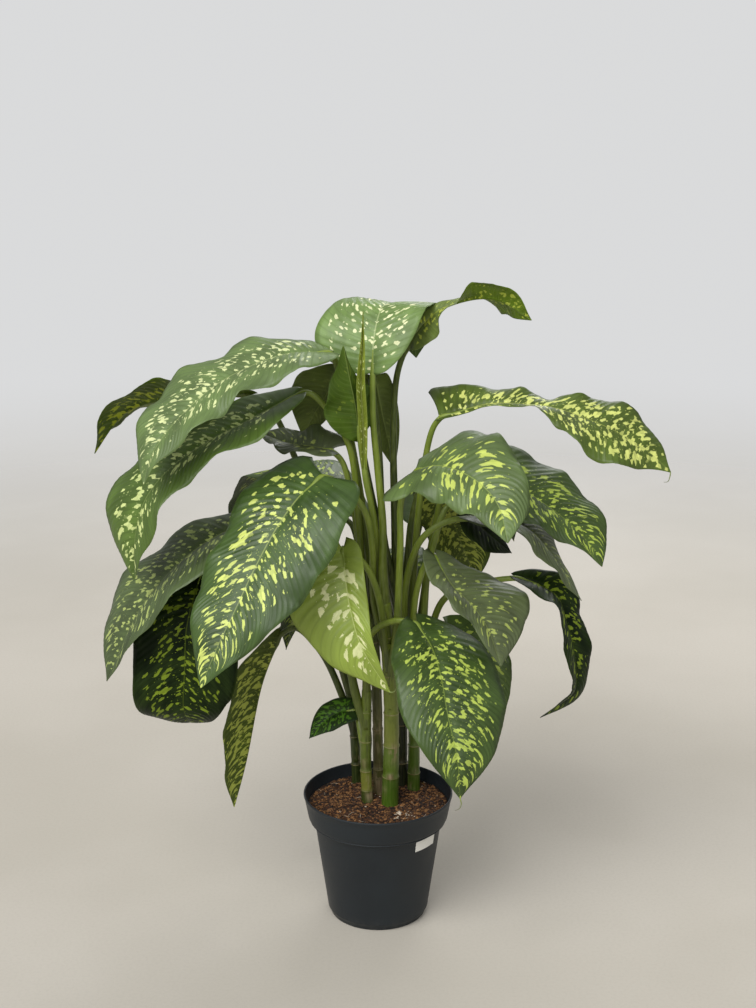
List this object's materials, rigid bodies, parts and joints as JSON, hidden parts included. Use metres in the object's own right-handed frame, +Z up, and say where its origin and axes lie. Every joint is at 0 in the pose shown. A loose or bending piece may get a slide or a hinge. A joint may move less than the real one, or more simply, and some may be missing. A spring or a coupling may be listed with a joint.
{
  "type": "potted dieffenbachia",
  "caption": "Tall potted dieffenbachia: large arching speckled leaves on upright green canes, in a dark round nursery pot filled with coarse fibrous soil.",
  "frame": {"origin": "centre of the pot's flat underside", "axes": "+Z up along the pot's axis, -Y towards the front, +X to the right"},
  "size_m": [0.9916, 0.683, 1.1601],
  "materials": {
    "pot": "matte",
    "label": "matte",
    "soil": "matte",
    "cane": "satin",
    "leaf": "satin",
    "leaf_pale": "satin"
  },
  "bodies": {
    "root": {"pot": "pot", "label": "label", "soil": "soil", "cane_a": "cane", "cane_b": "cane", "cane_c": "cane", "cane_d": "cane", "cane_e": "cane", "cane_f": "cane", "leaf_crown": "leaf", "leaf_top_far": "leaf", "leaf_upper_left": "leaf", "leaf_far_left": "leaf", "leaf_long_left": "leaf", "leaf_mid_left": "leaf", "leaf_back_left": "leaf", "leaf_back_mid": "leaf", "leaf_spear": "leaf", "leaf_young": "leaf", "leaf_front_left": "leaf", "leaf_left_dark": "leaf", "leaf_low_left": "leaf", "leaf_edge_left": "leaf", "leaf_tip_back": "leaf", "leaf_pale": "leaf_pale", "leaf_small_low": "leaf", "leaf_front_right": "leaf", "leaf_behind_right": "leaf", "leaf_right_mid": "leaf", "leaf_right_hang": "leaf", "leaf_right_big": "leaf", "leaf_right_far": "leaf", "leaf_right_under": "leaf", "leaf_speckled": "leaf", "leaf_back_right": "leaf", "leaf_top_right": "leaf", "leaf_back_a": "leaf", "leaf_back_b": "leaf", "leaf_back_c": "leaf"}
  },
  "joints": []
}
